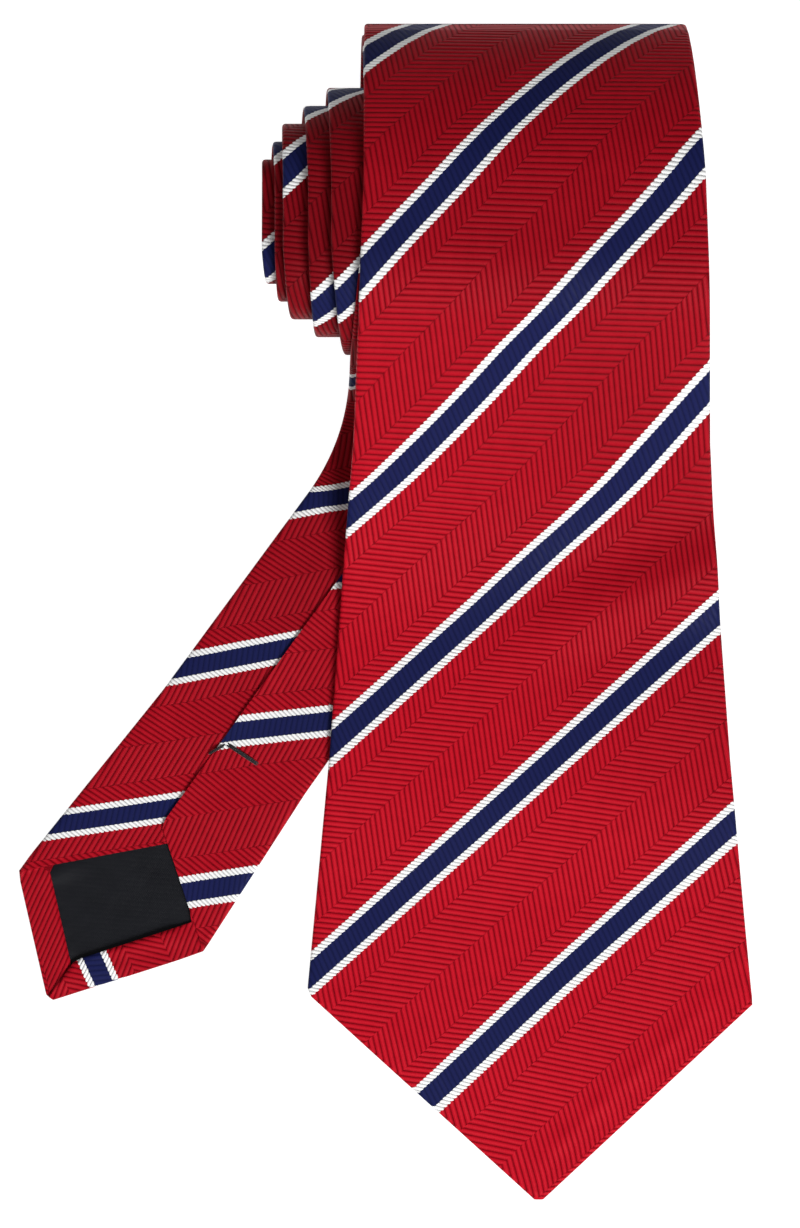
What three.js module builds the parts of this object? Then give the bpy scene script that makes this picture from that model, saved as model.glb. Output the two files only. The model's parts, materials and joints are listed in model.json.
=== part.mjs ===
// A silk necktie, folded in half at the neck with its backs together, rolled up from
// that fold, and laid down with both ends running out over the front of the roll.
// Millimetres, +Z up, the table at z = 0, the wide tip towards -Y.

import * as THREE from "three";

// The cloth, counted from the lapped back of the tie to its front.
const tieThickness = 1.55; // both flaps, interlining and front ply, lying flat
const silkPly = 0.26; // the woven silk, one ply
const tippingPly = 0.12; // the satin lining of a tip
const plyGap = 0.08; // air between two plies
const threadSize = 0.3; // one sewing thread
const seatGap = 0.1; // between a sewn-on piece and the cloth that carries it
const cutGap = 0.3; // between two pieces of cloth that meet end to end

// The finished outline, as [distance from the tip, width].
const wideWidths = [[38.4, 85], [84, 76.4], [148, 66.9], [232, 60.6], [640, 34], [740, 31]];
const narrowWidths = [[20, 37.8], [60, 33.6], [190, 31], [600, 30], [740, 31]];
// The tips: how far each corner lies from the point, and how fast the flap's end widens
// above its corner.
const wideTip = { leftDepth: 39.5, rightDepth: 37.2, aside: 1.8, leftGrowth: 1, rightGrowth: 1 };
const narrowTip = { leftDepth: 15.8, rightDepth: 24.3, aside: 0, leftGrowth: 0.9, rightGrowth: 1.34 };
const tipPoint = 0.9; // half width of the blunt point
const sideFold = 0.26; // silk turned round the edge
const flapLap = { left: 3, right: 2 }; // how far each flap passes the centre of the back
const hemReach = 6; // silk turned in along a tip's edge, square to that edge
const hemGap = 0.3; // between the two hems where they meet below the point

// The panels, as distances from the tips.
const widePanel = 640;
const narrowPanel = 525;
const seamTape = 1.2; // how wide the sewing of a piecing seam is

// The roll.
const halfTurns = 11;
const coreRadius = 1.8; // the innermost double layer, from the roll's middle line
const coreFlat = 13; // the flat in the middle of the flattened roll
const layerGap = 0.12; // between two layers
const looseArch = 8.8; // how far the outermost turn stands out at the top
const foldInset = 3; // the neck fold, short of the flat's end
const arcSteps = 6; // facets in a half turn
const foldSteps = 4; // facets in the neck fold
const footSteps = 5; // facets where an end bends onto the table
// How far the left edge stands out past the blade's, as [turns, distance].
const stickOut = [[0, 0], [0.3, 0], [1, 6], [2, 10.3], [3, 15], [4, 16.6], [5, 19.1], [6, 19.6]];

// The ends, where they leave the roll and lie down. Plan distances are from the roll's axis.
const wideReach = 185.9; // to the wide tip's point
const wideLeave = { angle: 40, footRadius: 50, slopeStep: 10 };
const narrowReach = 169.8;
const narrowLeave = { angle: 65, footRadius: 15, slopeStep: 1.2 };
const crestAside = 15.5; // the tail lies this far left of the blade's centre line on the crest
const tailAside = 18.2; // and this far where it leaves the roll
const tailBend = { from: 27, radius: 58, angle: 35.8 };
const propped = { from: 30, full: 60, until: 106, gone: 132 }; // the blade lies on the tail here
const tailHinge = 63.7; // the tail's bending line, from its point
const flatStep = 6; // between two sections where the cloth lies flat and changes
const tipStep = 5; // and close to a point
const plainStep = 12; // and where it only runs on

// Sewn-on pieces. Distances are from the tip's point, the keeper's down from the crest
// and the label's down from the keeper.
const keeper = {
  belowCrest: 45.4,
  span: 44,
  width: 10,
  endWidth: 4,
  taper: 8,
  ply: 0.8,
  rise: 3,
  endRise: 1,
};
const keeperPlaces = [-1, -0.9, -0.64, -0.3, 0, 0.3, 0.64, 0.9, 1]; // its sections, by half spans
const keeperTackRise = 0.55; // how far a keeper's tack stands off, short of the loop it lets rock
const label = { belowKeeper: 12, length: 22, width: 26, ply: 0.25 };
const wideTack = { at: 84, length: 8 };
const narrowTack = { at: 57, length: 8, long: 6.5, bend: 1.5 };
const tackDepth = 0.35; // how far a bar tack's stitches stand out
const tackWidth = 0.6; // two threads side by side
const interliningInset = 0.9; // interlining short of the folded edge
const interliningShort = 6; // and short of the tip's point
const tippingInset = 0.7;
const tippingStart = 3;
const wideTippingLength = 70;
const narrowTippingLength = 42;

const pitch = tieThickness + layerGap;
const proppedLift = pitch;
const halfThickness = tieThickness / 2;
const crestRadius = coreRadius + halfTurns * pitch;
const rollHeight = crestRadius - pitch / 2 + halfThickness; // of the roll's middle line
const halfFlat = coreFlat / 2;

const leftFlapBack = silkPly + plyGap;
const leftFlapFront = leftFlapBack + silkPly;
const tippingBack = leftFlapFront + plyGap;
const interliningBack = tippingBack + tippingPly + plyGap;
const frontPlyBack = tieThickness - silkPly;
const interliningFront = frontPlyBack - plyGap;

function radians(degrees) {
  return (degrees * Math.PI) / 180;
}

function alongTable(table, x) {
  if (x <= table[0][0]) return table[0][1];
  for (let i = 1; i < table.length; i += 1) {
    const [x0, y0] = table[i - 1];
    const [x1, y1] = table[i];
    if (x <= x1) return y0 + ((y1 - y0) * (x - x0)) / (x1 - x0);
  }
  return table[table.length - 1][1];
}

function smooth(from, to, x) {
  const t = Math.min(1, Math.max(0, (x - from) / (to - from)));
  return t * t * (3 - 2 * t);
}

// A knot of the tie's path: where its middle is, which way is across it, and which
// way its front faces. Points of the cloth lie at middle + across * w + front * n.
function knot(middle, across, front) {
  return { middle, across, front };
}

// One end of the tie from the roll's crest to its point, as heights over plan distance.
// layer is +1 for the outer layer, the wide blade, and -1 for the inner one, the tail.
function fallingLine(layer, leave, reach, flatStops) {
  const line = [{ q: 0, z: rollHeight + crestRadius + (layer * pitch) / 2, lean: 0 }];
  line.push({ ...line[0], q: halfFlat });
  const facet = 180 / arcSteps; // the turns below bend at the same angles
  const wholeFacets = Math.ceil(leave.angle / facet) - 1;
  for (let i = 1; i <= wholeFacets + 1; i += 1) {
    const lean = radians(Math.min(leave.angle, i * facet));
    const radius = crestRadius + (pitch * lean) / Math.PI + (layer * pitch) / 2;
    line.push({
      q: halfFlat + radius * Math.sin(lean),
      z: rollHeight + radius * Math.cos(lean),
      lean,
    });
  }
  const last = line[line.length - 1];
  const lean = last.lean;
  const corner = last.q + (last.z - halfThickness) / Math.tan(lean);
  const tangent = leave.footRadius * Math.tan(lean / 2);
  const touch = corner + tangent;
  const footTop = leave.footRadius * Math.sin(lean);
  const slope = steps(last.q, touch - footTop, leave.slopeStep).slice(1, -1);
  for (const q of slope) line.push({ q, z: last.z - (q - last.q) * Math.tan(lean), lean });
  for (let i = 0; i <= footSteps; i += 1) {
    const angle = lean * (1 - i / footSteps);
    line.push({
      q: touch - leave.footRadius * Math.sin(angle),
      z: halfThickness + leave.footRadius * (1 - Math.cos(angle)),
      lean: angle,
    });
  }
  const stops = [...flatStops, reach].filter((q) => q > touch + 1);
  for (const q of stops) line.push({ q, z: halfThickness, lean: 0 });
  return line;
}

function steps(from, to, step) {
  const count = Math.max(1, Math.round((to - from) / step));
  return Array.from({ length: count + 1 }, (unused, i) => from + ((to - from) * i) / count);
}

// The wide blade, from its point up to the crest of the roll, front side up.
function wideEnd() {
  const tipDepth = Math.max(wideTip.leftDepth, wideTip.rightDepth);
  const flatStops = [
    ...steps(propped.until - plainStep, propped.gone, flatStep),
    ...steps(wideReach - tipDepth - plainStep, wideReach - tippingStart, tipStep),
  ];
  const line = fallingLine(1, wideLeave, wideReach, flatStops);
  const knots = line.map(({ q, z, lean }) => {
    const prop = smooth(propped.from, propped.full, q) * (1 - smooth(propped.until, propped.gone, q));
    const aside = wideTip.aside * Math.max(0, 1 - (wideReach - q) / tipDepth);
    const across = new THREE.Vector3(1, 0, 0);
    const along = new THREE.Vector3(0, -Math.cos(lean), -Math.sin(lean));
    const front = along.cross(across).normalize();
    return knot(new THREE.Vector3(aside, -q, z + proppedLift * prop), across, front);
  });
  return knots.reverse();
}

// The narrow end, from the crest down to its point, back side up.
function narrowEnd() {
  const bendLength = tailBend.radius * radians(tailBend.angle);
  const bendEnd = tailBend.from + bendLength;
  const tipDepth = Math.max(narrowTip.leftDepth, narrowTip.rightDepth);
  const flatStops = [
    ...steps(tailBend.from + bendLength / 2, bendEnd, flatStep),
    ...steps(bendEnd + plainStep, narrowReach - tipDepth - plainStep, plainStep),
    ...steps(narrowReach - tipDepth - flatStep, narrowReach - tippingStart, tipStep),
  ];
  const line = fallingLine(-1, narrowLeave, narrowReach, flatStops);
  return line.map(({ q, z, lean }) => {
    const bent = Math.min(Math.max(0, q - tailBend.from), bendLength);
    const heading = bent / tailBend.radius;
    const after = Math.max(0, q - bendEnd);
    const before = Math.min(q, tailBend.from);
    const drift = ((tailAside - crestAside) * before) / tailBend.from;
    const swing = tailBend.radius * (1 - Math.cos(heading));
    const x = -crestAside - drift - swing - after * Math.sin(heading);
    const y = -before - tailBend.radius * Math.sin(heading) - after * Math.cos(heading);
    const across = new THREE.Vector3(Math.cos(heading), -Math.sin(heading), 0);
    const ahead = new THREE.Vector3(-Math.sin(heading), -Math.cos(heading), 0);
    const along = ahead.multiplyScalar(Math.cos(lean)).add(new THREE.Vector3(0, 0, -Math.sin(lean)));
    const front = across.clone().cross(along).normalize();
    return knot(new THREE.Vector3(x, y, z), across, front);
  });
}

// One half of the rolled cloth, from the crest in to the fold, without its sideways place.
function rolledHalf(layer) {
  const knots = [];
  const add = (centre, angle, radius, stand) => {
    const out = new THREE.Vector3(0, Math.cos(angle), Math.sin(angle));
    const middle = out.clone().multiplyScalar(radius + (layer * pitch) / 2);
    middle.y += centre + stand;
    middle.z += rollHeight;
    knots.push(knot(middle, new THREE.Vector3(1, 0, 0), out.multiplyScalar(layer)));
  };
  for (let half = 0; half < halfTurns; half += 1) {
    const side = half % 2 === 0 ? 1 : -1;
    for (let i = 0; i <= arcSteps; i += 1) {
      const turned = i / arcSteps;
      const angle = Math.PI / 2 - Math.PI * (half + turned);
      const radius = crestRadius - pitch * (half + turned);
      const stand = half === 0 ? looseArch * Math.sin(Math.PI * turned) ** 2 : 0;
      add(side * halfFlat, angle, radius, stand);
      knots[knots.length - 1].turns = (half + turned) / 2;
    }
  }
  return knots;
}

// The fold at the neck, which joins the outer half to the inner one.
function neckFold() {
  const side = halfTurns % 2 === 0 ? 1 : -1;
  const centre = new THREE.Vector3(0, side * (halfFlat - foldInset), rollHeight + side * coreRadius);
  return steps(0, foldSteps, 1).map((i) => {
    const angle = (Math.PI * i) / foldSteps;
    const out = new THREE.Vector3(0, side * Math.sin(angle), side * Math.cos(angle));
    const middle = centre.clone().addScaledVector(out, pitch / 2);
    return { ...knot(middle, new THREE.Vector3(1, 0, 0), out), turns: halfTurns / 2 };
  });
}

// The whole path from the wide point to the narrow one, with its running distance.
function tiePath() {
  const wide = wideEnd();
  const outer = rolledHalf(1);
  const fold = neckFold();
  const inner = rolledHalf(-1).reverse();
  const narrow = narrowEnd();
  const path = [...wide, ...outer, ...fold, ...inner, ...narrow];
  let run = 0;
  path.forEach((here, i) => {
    if (i > 0) {
      const { x, y, z } = here.middle;
      const last = path[i - 1].middle;
      const sideways = here.turns === undefined && path[i - 1].turns === undefined ? x - last.x : 0;
      run += Math.hypot(sideways, y - last.y, z - last.z);
    }
    here.run = run;
  });
  const crest = wide[wide.length - 1].run;
  const crestEdge = -alongTable(wideWidths, crest) / 2;
  const wideCentre = (turns, at) => crestEdge - alongTable(stickOut, turns) + alongTable(wideWidths, at) / 2;
  const foldCentre = wideCentre(halfTurns / 2, fold[0].run);
  for (const here of outer) here.middle.x = wideCentre(here.turns, here.run);
  for (const here of fold) here.middle.x = foldCentre;
  for (const here of inner) {
    const share = here.turns / (halfTurns / 2);
    here.middle.x = -crestAside + (foldCentre + crestAside) * share;
  }
  return { knots: path, length: run, crest };
}

const path = tiePath();
const tailHingeRun = path.length - tailHinge;
const keeperAt = path.crest - keeper.belowCrest;
const labelTo = keeperAt - label.belowKeeper;
const labelFrom = labelTo - label.length;

// The path's knot at a running distance, on the straight line between its neighbours.
function knotAt(run) {
  const knots = path.knots;
  let i = 1;
  while (i < knots.length - 1 && knots[i].run < run) i += 1;
  const before = knots[i - 1];
  const after = knots[i];
  const share = Math.min(1, Math.max(0, (run - before.run) / (after.run - before.run || 1)));
  const between = (name) => before[name].clone().lerp(after[name], share);
  return { ...knot(between("middle"), between("across"), between("front")), run };
}

// Where any layer starts or ends near a tip, every layer has a knot.
function tipStops(tip, widths, lengths) {
  const flapsMet = Math.max(tip.leftDepth, tip.rightDepth) + alongTable(widths, 0) / 2;
  return [tip.leftDepth, tip.rightDepth, flapsMet, interliningShort, tippingStart, ...lengths];
}
const wideStitchFrom = wideTack.at + wideTack.length;
const narrowStitchFrom = narrowTack.at;
const wideLengths = [wideTippingLength, wideStitchFrom, labelFrom, labelTo];
const narrowLengths = [narrowTippingLength, narrowStitchFrom];
const wideStops = tipStops(wideTip, wideWidths, wideLengths);
const narrowStops = tipStops(narrowTip, narrowWidths, narrowLengths);
const layerStops = [...wideStops, ...narrowStops.map((distance) => path.length - distance)];

function stretch(from, to) {
  const spacing = 0.05; // closer knots are one
  const inner = path.knots.map((k) => k.run).concat(layerStops);
  const runs = inner.filter((run) => run > from + spacing && run < to - spacing);
  runs.sort((a, b) => a - b);
  const kept = runs.filter((run, i) => i === 0 || run - runs[i - 1] > spacing);
  return [from, ...kept, to].map(knotAt);
}

// Half widths and flap reaches at a running distance.
function outline(run) {
  const fromNarrow = path.length - run;
  const distance = Math.min(run, fromNarrow);
  const widths = run < fromNarrow ? wideWidths : narrowWidths;
  const tip = run < fromNarrow ? wideTip : narrowTip;
  const width = alongTable(widths, distance);
  const half = (depth) => {
    const share = Math.min(1, distance / depth);
    return tipPoint + (width / 2 - tipPoint) * share;
  };
  const reach = (depth, lap, growth) => {
    const slant = (alongTable(widths, depth) / 2 - tipPoint) / depth;
    const pastCorner = half(depth) - tipPoint - slant * distance;
    const hem = Math.min(hemReach * Math.hypot(1, slant) + pastCorner, half(depth) - hemGap);
    return Math.min(Math.max(hem, (distance - depth) * growth), half(depth) + lap);
  };
  return {
    left: half(tip.leftDepth),
    right: half(tip.rightDepth),
    leftReach: reach(tip.leftDepth, flapLap.left, tip.leftGrowth),
    rightReach: reach(tip.rightDepth, flapLap.right, tip.rightGrowth),
  };
}

// The silk's section: the front ply, both folded edges and both flaps, in one piece.
function silkSection(run) {
  const { left, right, leftReach, rightReach } = outline(run);
  return [
    [-left, tieThickness],
    [-left, leftFlapBack],
    [-left + leftReach, leftFlapBack],
    [-left + leftReach, leftFlapFront],
    [-left + sideFold, leftFlapFront],
    [-left + sideFold, frontPlyBack],
    [right - sideFold, frontPlyBack],
    [right - sideFold, silkPly],
    [right - rightReach, silkPly],
    [right - rightReach, 0],
    [right, 0],
    [right, tieThickness],
  ];
}

function layerSection(inset, back, front) {
  return (run) => {
    const { left, right } = outline(run);
    return rectangle(inset - left, right - inset, back, front);
  };
}

function rectangle(left, right, back, front) {
  return [[left, front], [left, back], [right, back], [right, front]];
}

function place(here, w, n) {
  const point = here.middle.clone().addScaledVector(here.across, w);
  return point.addScaledVector(here.front, n - halfThickness);
}

// A closed solid through rings of points, with the flat outline of each ring. Every
// side face is split from its left to its right, so that plies lie parallel when twisted.
function loft(rings, outlines) {
  const count = rings[0].length;
  const positions = rings.flat().flatMap((p) => [p.x, p.y, p.z]);
  const faces = [];
  for (let i = 0; i + 1 < rings.length; i += 1) {
    for (let j = 0; j < count; j += 1) {
      const next = (j + 1) % count;
      const a = i * count + j;
      const b = i * count + next;
      if (outlines[i][j][0] <= outlines[i][next][0]) faces.push(a, b, b + count, a, b + count, a + count);
      else faces.push(a, b, a + count, b, b + count, a + count);
    }
  }
  const fill = (points, start, turned) => {
    const flat = points.map(([w, n]) => new THREE.Vector2(w, n));
    const clockwise = THREE.ShapeUtils.isClockWise(flat);
    const sideFaces = THREE.ShapeUtils.triangulateShape(clockwise ? flat.slice().reverse() : flat, []);
    for (const face of sideFaces) {
      const [a, b, c] = face.map((k) => start + (clockwise ? count - 1 - k : k));
      if (clockwise === turned) faces.push(a, b, c);
      else faces.push(c, b, a);
    }
  };
  fill(outlines[0], 0, true);
  fill(outlines[outlines.length - 1], (rings.length - 1) * count, false);
  const geometry = new THREE.BufferGeometry();
  geometry.setAttribute("position", new THREE.Float32BufferAttribute(positions, 3));
  geometry.setIndex(signedVolume(positions, faces) < 0 ? faces.reverse() : faces);
  geometry.computeVertexNormals();
  return geometry;
}

function signedVolume(positions, faces) {
  const corner = (k) => new THREE.Vector3().fromArray(positions, 3 * k);
  let volume = 0;
  for (let i = 0; i < faces.length; i += 3) {
    const [a, b, c] = [corner(faces[i]), corner(faces[i + 1]), corner(faces[i + 2])];
    volume += a.dot(b.cross(c)) / 6;
  }
  return volume;
}

function sweep(stations, section) {
  const outlines = stations.map((here) => section(here.run));
  const rings = stations.map((here, i) => outlines[i].map(([w, n]) => place(here, w, n)));
  return loft(rings, outlines);
}

const tie = new THREE.Group();

function add(name, geometry, colour, roughness) {
  const material = new THREE.MeshStandardMaterial({ color: colour, roughness, metalness: 0 });
  const mesh = new THREE.Mesh(geometry, material);
  mesh.name = name;
  tie.add(mesh);
}

const redSilk = 0xb3121f;
const wool = 0xe9e3d3;
const blackSatin = 0x0e1018;
const redThread = 0x8c0d18;
const blackThread = 0x0c0c10;
const labelWhite = 0xe8e6e0;

// Silk panels, each cut where the tie bends on a joint or where two panels are pieced.
const crestFrom = path.crest - cutGap / 2;
const crestTo = path.crest + cutGap / 2;
const tailFrom = tailHingeRun + cutGap / 2;
const tailTo = tailHingeRun - cutGap / 2;
const wideSeam = widePanel;
const narrowSeam = path.length - narrowPanel;

add("wide_blade_silk", sweep(stretch(0, crestFrom), silkSection), redSilk, 0.45);
add("rolled_wide_silk", sweep(stretch(crestTo, wideSeam - cutGap / 2), silkSection), redSilk, 0.45);
const neckStations = stretch(wideSeam + cutGap / 2, narrowSeam - cutGap / 2);
add("neck_silk", sweep(neckStations, silkSection), redSilk, 0.45);
add("rolled_narrow_silk", sweep(stretch(narrowSeam + cutGap / 2, tailTo), silkSection), redSilk, 0.45);
const tailStations = stretch(tailFrom, path.length);
add("narrow_tail_silk", sweep(tailStations, silkSection), redSilk, 0.45);

// Wool interlining, in one length inside the silk, cut at the same two bending lines.
const interlining = layerSection(interliningInset, interliningBack, interliningFront);
const interliningEnd = path.length - interliningShort;
add("blade_interlining", sweep(stretch(interliningShort, crestFrom), interlining), wool, 0.95);
add("rolled_interlining", sweep(stretch(crestTo, tailTo), interlining), wool, 0.95);
const tailInterlining = stretch(tailFrom, interliningEnd);
add("tail_interlining", sweep(tailInterlining, interlining), wool, 0.95);

// Tipping: the satin that lines each pointed end behind the hems.
const tipping = layerSection(tippingInset, tippingBack, tippingBack + tippingPly);
add("wide_tipping", sweep(stretch(tippingStart, wideTippingLength), tipping), blackSatin, 0.4);
const narrowTippingFrom = path.length - narrowTippingLength;
const narrowTippingTo = path.length - tippingStart;
const narrowTippingStations = stretch(narrowTippingFrom, narrowTippingTo);
add("narrow_tipping", sweep(narrowTippingStations, tipping), blackSatin, 0.4);

// The slip stitch: one loose thread up the centre of the back, beside the left flap's edge.
function slipStitchSection() {
  const start = flapLap.left + threadSize;
  const back = leftFlapBack;
  return rectangle(start, start + threadSize, back, back + silkPly);
}
add("blade_slip_stitch", sweep(stretch(wideStitchFrom, crestFrom), slipStitchSection), redThread, 0.6);
add("rolled_slip_stitch", sweep(stretch(crestTo, tailTo), slipStitchSection), redThread, 0.6);
const tailStitchEnd = path.length - narrowStitchFrom;
add("tail_slip_stitch", sweep(stretch(tailFrom, tailStitchEnd), slipStitchSection), redThread, 0.6);

// Piecing seams: the row of sewing across the tie where two panels are joined.
function piecingSeam(at) {
  return sweep(stretch(at - seamTape / 2, at + seamTape / 2), tipping);
}
add("wide_piecing_seam", piecingSeam(wideSeam), redThread, 0.6);
add("narrow_piecing_seam", piecingSeam(narrowSeam), redThread, 0.6);

// Bar tacks: a few stitches across the lapped flaps, at the foot of the slip stitch.
function barTack(points, at) {
  const here = knotAt(at);
  const along = here.across.clone().cross(here.front).normalize();
  const back = -seatGap - tackDepth;
  const rings = points.map(([w, a]) => {
    const row = [[a, back], [a, -seatGap], [a + tackWidth, -seatGap], [a + tackWidth, back]];
    return row.map(([offset, n]) => place(here, w, n).addScaledVector(along, offset));
  });
  return loft(rings, rings.map(() => rectangle(0, 1, 0, 1)));
}
const wideTackPoints = [[-wideTack.length / 2, 0], [wideTack.length / 2, 0]];
add("wide_bar_tack", barTack(wideTackPoints, wideTack.at), blackThread, 0.7);
const narrowTackPoints = [
  [-narrowTack.length + narrowTack.long, -narrowTack.bend],
  [0, 0],
  [narrowTack.long, -narrowTack.bend],
];
add("narrow_bar_tack", barTack(narrowTackPoints, path.length - narrowTack.at), blackThread, 0.7);

// The keeper: a strip of folded silk across the back of the wide blade, sewn at both
// ends, which the narrow end is passed through when the tie is worn.
function keeperLoop() {
  const here = knotAt(keeperAt);
  const along = here.across.clone().cross(here.front).normalize();
  const halfSpan = keeper.span / 2;
  const rings = keeperPlaces.map((share) => {
    const w = share * halfSpan;
    const fromEnd = halfSpan - Math.abs(w);
    const growth = smooth(0, keeper.taper, fromEnd);
    const halfWidth = (keeper.endWidth + (keeper.width - keeper.endWidth) * growth) / 2;
    const rise = keeper.endRise + (keeper.rise - keeper.endRise) * smooth(0, halfSpan, fromEnd);
    const row = rectangle(-halfWidth, halfWidth, -rise - keeper.ply, -rise);
    return row.map(([offset, n]) => place(here, w, n).addScaledVector(along, offset));
  });
  return loft(rings, rings.map(() => rectangle(0, 1, 0, 1)));
}
add("keeper_loop", keeperLoop(), redSilk, 0.45);

function keeperTack(side) {
  const here = knotAt(keeperAt);
  const along = here.across.clone().cross(here.front).normalize();
  const size = keeper.endWidth / 2;
  const from = side * (keeper.span / 2 - size);
  const rings = [from, from + side * (size - cutGap)].map((w) => {
    const row = rectangle(-size / 2, size / 2, -keeperTackRise, -seatGap);
    return row.map(([offset, n]) => place(here, w, n).addScaledVector(along, offset));
  });
  return loft(rings, rings.map(() => rectangle(0, 1, 0, 1)));
}
add("keeper_tack_left", keeperTack(-1), redThread, 0.6);
add("keeper_tack_right", keeperTack(1), redThread, 0.6);

// The care label: a plain woven slip sewn flat on the back of the wide blade.
function labelSection() {
  const half = label.width / 2;
  return rectangle(-half, half, -seatGap - label.ply, -seatGap);
}
add("care_label", sweep(stretch(labelFrom, labelTo), labelSection), labelWhite, 0.7);

// The origin is under the middle of the whole tie, on the table.
const box = new THREE.Box3().setFromObject(tie);
const middle = box.getCenter(new THREE.Vector3());
for (const mesh of tie.children) mesh.geometry.translate(-middle.x, -middle.y, 0);

export default tie;
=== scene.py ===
# A silk necktie, rolled up from its neck and laid down with both ends over the front
# of the roll: the wide blade front side up, the narrow end back side up.
import json
import math
import bmesh
import bpy
import numpy as np
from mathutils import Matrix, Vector


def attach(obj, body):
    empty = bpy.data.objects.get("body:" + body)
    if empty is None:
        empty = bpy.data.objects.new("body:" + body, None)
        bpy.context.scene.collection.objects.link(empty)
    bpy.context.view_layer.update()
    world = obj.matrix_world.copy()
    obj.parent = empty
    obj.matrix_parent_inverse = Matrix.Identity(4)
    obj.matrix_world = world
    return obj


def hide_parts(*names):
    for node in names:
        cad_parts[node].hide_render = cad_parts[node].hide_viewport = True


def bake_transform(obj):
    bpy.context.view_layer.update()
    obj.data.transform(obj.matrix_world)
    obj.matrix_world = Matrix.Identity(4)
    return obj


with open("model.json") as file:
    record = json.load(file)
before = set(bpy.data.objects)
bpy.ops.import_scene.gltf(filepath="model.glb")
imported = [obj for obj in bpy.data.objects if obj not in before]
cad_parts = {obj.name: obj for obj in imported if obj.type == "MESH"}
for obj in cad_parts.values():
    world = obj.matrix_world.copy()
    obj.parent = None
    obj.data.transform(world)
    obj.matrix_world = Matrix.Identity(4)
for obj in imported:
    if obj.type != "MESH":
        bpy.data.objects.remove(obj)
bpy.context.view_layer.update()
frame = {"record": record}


# ---- Camera, floor and light ------------------------------------------------------
# The tie lies on a plain white table under one broad soft light from the wide tip's
# side, with a pale room all round, and is looked at from straight above.
MM = 0.001
camera_height = 1.0
camera_data = bpy.data.cameras.new("camera")
camera_data.type = "PERSP"
camera_data.sensor_width = 36
camera_data.lens = 153.5
camera = bpy.data.objects.new("camera", camera_data)
camera.location = (0.0028, 0.0006, camera_height)
bpy.context.scene.collection.objects.link(camera)
bpy.context.scene.camera = camera
bpy.context.scene.view_settings.view_transform = "Standard"

world = bpy.data.worlds.new("room")
bpy.context.scene.world = world
world.use_nodes = True
world.node_tree.nodes["Background"].inputs["Color"].default_value = (1, 1, 1, 1)
world.node_tree.nodes["Background"].inputs["Strength"].default_value = 0.23


def soft_light(name, place, size, power):
    data = bpy.data.lights.new(name, "AREA")
    data.shape = "DISK"
    data.size = size
    data.energy = power
    lamp = bpy.data.objects.new(name, data)
    lamp.location = place
    lamp.rotation_euler = (-Vector(place)).to_track_quat("-Z", "Y").to_euler()
    bpy.context.scene.collection.objects.link(lamp)


soft_light("softbox", (0.34, -0.60, 0.78), 0.45, 12.0)
soft_light("fill", (-0.70, 0.10, 0.80), 0.9, 1.3)

floor_mesh = bpy.data.meshes.new("table_top")
floor_size = 8
floor_sink = -0.0001
floor_mesh.from_pydata(
    [(x * floor_size, y * floor_size, floor_sink) for x, y in ((-1, -1), (1, -1), (1, 1), (-1, 1))],
    [],
    [(0, 1, 2, 3)],
)
floor = bpy.data.objects.new("table_top", floor_mesh)
bpy.context.scene.collection.objects.link(floor)
paper = bpy.data.materials.new("white_table")
paper.use_nodes = True
paper_shader = paper.node_tree.nodes["Principled BSDF"]
paper_shader.inputs["Base Color"].default_value = (0.25, 0.25, 0.25, 1)
paper_shader.inputs["Roughness"].default_value = 0.9
paper_shader.inputs["Emission Color"].default_value = (1, 1, 1, 1)
paper_shader.inputs["Emission Strength"].default_value = 0.96
floor_mesh.materials.append(paper)


# ---- The wide blade ---------------------------------------------------------------
# The wide end of the tie: striped jacquard silk cut on the bias, folded round a wool
# interlining, with the right flap lapped over the left behind and both edges of the
# point turned in. The cloth runs on over the crest of the roll in one piece.
thickness = 1.55
silk_ply = 0.26
ply_gap = 0.08
tipping_ply = 0.12
wide_widths = ((38.4, 85), (84, 76.4), (148, 66.9), (232, 60.6), (640, 34), (740, 31))
narrow_widths = ((20, 37.8), (60, 33.6), (190, 31), (600, 30), (740, 31))
wide_tip = {"left": 39.5, "right": 37.2, "aside": 1.8, "left_grows": 1.0, "right_grows": 1.0}
narrow_tip = {"left": 15.8, "right": 24.3, "aside": 0, "left_grows": 0.9, "right_grows": 1.34}
tip_point = 0.9
lap_left, lap_right = 3, 2
hem_reach, hem_gap = 6, -0.25
half_turns = 11
core_radius, half_flat, layer_gap = 1.8, 6.5, 0.12
loose_arch = 8.8
fold_inset = 3
stick_out = ((0, 0), (0.3, 0), (1, 6), (2, 10.3), (3, 15), (4, 16.6), (5, 19.1), (6, 19.6))
crest_aside, tail_aside = 15.5, 18.2
tail_bend_from, tail_bend_radius, tail_bend_angle = 27, 58, 35.8
propped_from, propped_full, propped_until, propped_gone = 30, 60, 106, 132
wide_reach, wide_angle, wide_foot = 185.9, 40, 50
narrow_reach, narrow_angle, narrow_foot = 169.8, 65, 15
arc_step = 5
pitch = thickness + layer_gap
crest_radius = core_radius + half_turns * pitch
roll_height = crest_radius - pitch / 2 + thickness / 2
joint_places = {joint["name"]: joint["pos_m"] for joint in frame["record"]["behaviour"]["joints"]}
crest_x, crest_y, crest_z = joint_places["wide_blade_lift"]


def smooth(low, high, x):
    t = np.clip((np.asarray(x, float) - low) / (high - low), 0, 1)
    return t * t * (3 - 2 * t)


def table(rows, x):
    return np.interp(x, [row[0] for row in rows], [row[1] for row in rows])


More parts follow.
